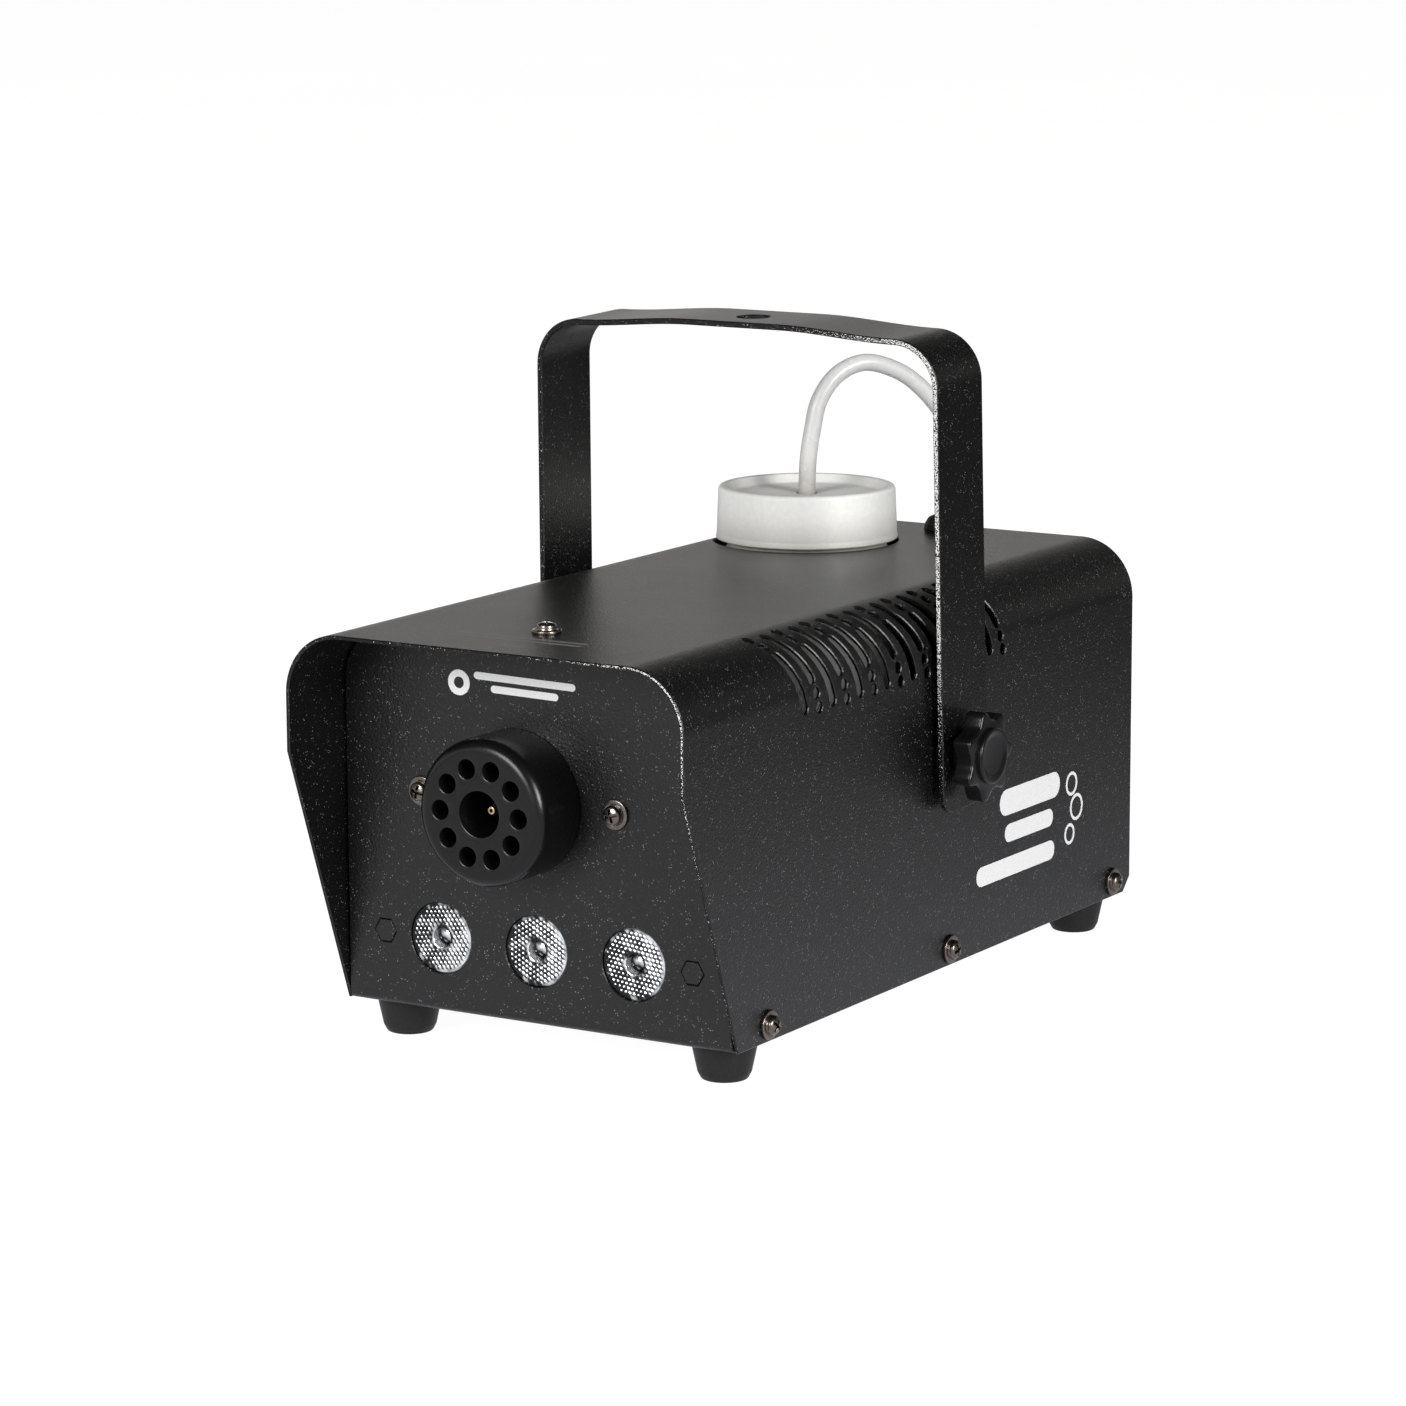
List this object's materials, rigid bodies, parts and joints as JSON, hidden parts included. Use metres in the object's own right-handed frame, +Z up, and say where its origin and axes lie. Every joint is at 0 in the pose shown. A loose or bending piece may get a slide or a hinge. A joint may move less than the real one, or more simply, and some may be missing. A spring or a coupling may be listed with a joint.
{
  "type": "fog machine",
  "caption": "Small black steel fog machine with a front heated nozzle in a drilled round guard, front LEDs, a strap handle on star knobs and a lift-out fluid bottle.",
  "frame": {"origin": "on the ground under the middle of the whole machine, handle and rear fittings included", "axes": "+X to the right seen from the front, -Y the way the nozzle blows, +Z up"},
  "size_m": [0.144, 0.243, 0.1802],
  "materials": {
    "housing": "fine textured black powder coat",
    "guard": "satin black",
    "fixings": "black nickel, semi-bright",
    "rubber": "moulded, matte",
    "steel": "zinc plated",
    "black_plastic": "moulded, matte",
    "milky_plastic": "milky, translucent",
    "silicone": "milky, soft gloss",
    "lens": "clear, dimpled face",
    "aluminium": "cast, matte",
    "brass": "turned, dull",
    "copper": "drawn copper, dull",
    "insulation": "woven ceramic wool",
    "circuit_board": "solder mask",
    "wire": "pvc insulation"
  },
  "bodies": {
    "housing": {"cover": "housing", "base_tray": "housing", "side_screw_right_front": "fixings", "side_screw_right_middle": "fixings", "side_screw_right_rear": "fixings", "side_screw_left_front": "fixings", "side_screw_left_middle": "fixings", "side_screw_left_rear": "fixings", "top_screw": "fixings", "nozzle_screw_left": "fixings", "nozzle_screw_right": "fixings", "foot_front_left": "rubber", "foot_front_right": "rubber", "foot_rear_left": "rubber", "foot_rear_right": "rubber", "foot_screw_front_left": "steel", "foot_screw_front_right": "steel", "foot_screw_rear_left": "steel", "foot_screw_rear_right": "steel", "nozzle_guard": "guard", "nozzle_tip": "brass", "heater_block": "aluminium", "insulation_jacket": "insulation", "heater_bracket_front": "steel", "heater_bracket_rear": "steel", "thermostat": "black_plastic", "thermal_cutout": "steel", "pump_body": "steel", "pump_bracket": "steel", "heater_feed_pipe": "copper", "pump_inlet_tube": "silicone", "bottle_cradle": "black_plastic", "tube_grommet": "rubber", "led_lens_left": "lens", "led_lens_middle": "lens", "led_lens_right": "lens", "led_stud_left": "housing", "led_stud_right": "housing", "led_board": "circuit_board", "control_board": "circuit_board", "transformer": "steel", "wiring_harness": "wire", "power_inlet": "black_plastic", "switch_body": "black_plastic", "remote_socket": "black_plastic", "friction_washer_left": "rubber", "friction_washer_right": "rubber"},
    "handle": {"handle": "housing"},
    "knob_washer_right": {"knob_washer_right": "steel"},
    "knob_right": {"knob_right": "black_plastic"},
    "knob_washer_left": {"knob_washer_left": "steel"},
    "knob_left": {"knob_left": "black_plastic"},
    "bottle": {"bottle": "milky_plastic", "feed_tube": "silicone", "pickup_filter": "steel"},
    "cap_seal": {"cap_seal": "silicone"},
    "bottle_cap": {"bottle_cap": "milky_plastic"},
    "switch_rocker": {"switch_rocker": "black_plastic"},
    "fuse_drawer": {"fuse_drawer": "black_plastic"},
    "pump_plunger": {"pump_plunger": "steel"}
  },
  "joints": [
    {"name": "handle_tilt", "type": "hinge", "parent": "housing", "child": "handle", "pos_m": [0, 0.0127, 0.0679], "axis": [1, 0, 0], "range_deg": [-27, 57]},
    {"name": "knob_right_travel", "type": "slide", "parent": "housing", "child": "knob_washer_right", "axis": [1, 0, 0], "range_m": [0, 0.002]},
    {"name": "knob_right_turn", "type": "hinge", "parent": "knob_washer_right", "child": "knob_right", "pos_m": [0.064, 0.0127, 0.0679], "axis": [1, 0, 0], "range_deg": [0, 720]},
    {"name": "knob_left_travel", "type": "slide", "parent": "housing", "child": "knob_washer_left", "axis": [-1, 0, 0], "range_m": [0, 0.002]},
    {"name": "knob_left_turn", "type": "hinge", "parent": "knob_washer_left", "child": "knob_left", "pos_m": [-0.064, 0.0127, 0.0679], "axis": [-1, 0, 0], "range_deg": [0, 720]},
    {"name": "bottle_lift", "type": "slide", "parent": "housing", "child": "bottle", "axis": [0, 0, 1], "range_m": [0, 0.1]},
    {"name": "cap_rise", "type": "slide", "parent": "bottle", "child": "cap_seal", "axis": [0, 0, 1], "range_m": [0, 0.006]},
    {"name": "cap_turn", "type": "hinge", "parent": "cap_seal", "child": "bottle_cap", "pos_m": [-0.022, 0.0759, 0.115], "axis": [0, 0, 1], "range_deg": [0, 720]},
    {"name": "switch_rock", "type": "hinge", "parent": "housing", "child": "switch_rocker", "pos_m": [0.035, 0.1145, 0.082], "axis": [1, 0, 0], "range_deg": [0, 14]},
    {"name": "fuse_drawer_pull", "type": "slide", "parent": "housing", "child": "fuse_drawer", "axis": [0, 1, 0], "range_m": [0, 0.013]},
    {"name": "pump_stroke", "type": "slide", "parent": "housing", "child": "pump_plunger", "axis": [-1, 0, 0], "range_m": [0, 0.003]}
  ],
  "couplings": [
    {"joint": "knob_right_travel", "follows": "knob_right_turn", "m_per_rad": 0.00015915},
    {"joint": "knob_left_travel", "follows": "knob_left_turn", "m_per_rad": 0.00015915},
    {"joint": "cap_rise", "follows": "cap_turn", "m_per_rad": 0.00047746}
  ]
}
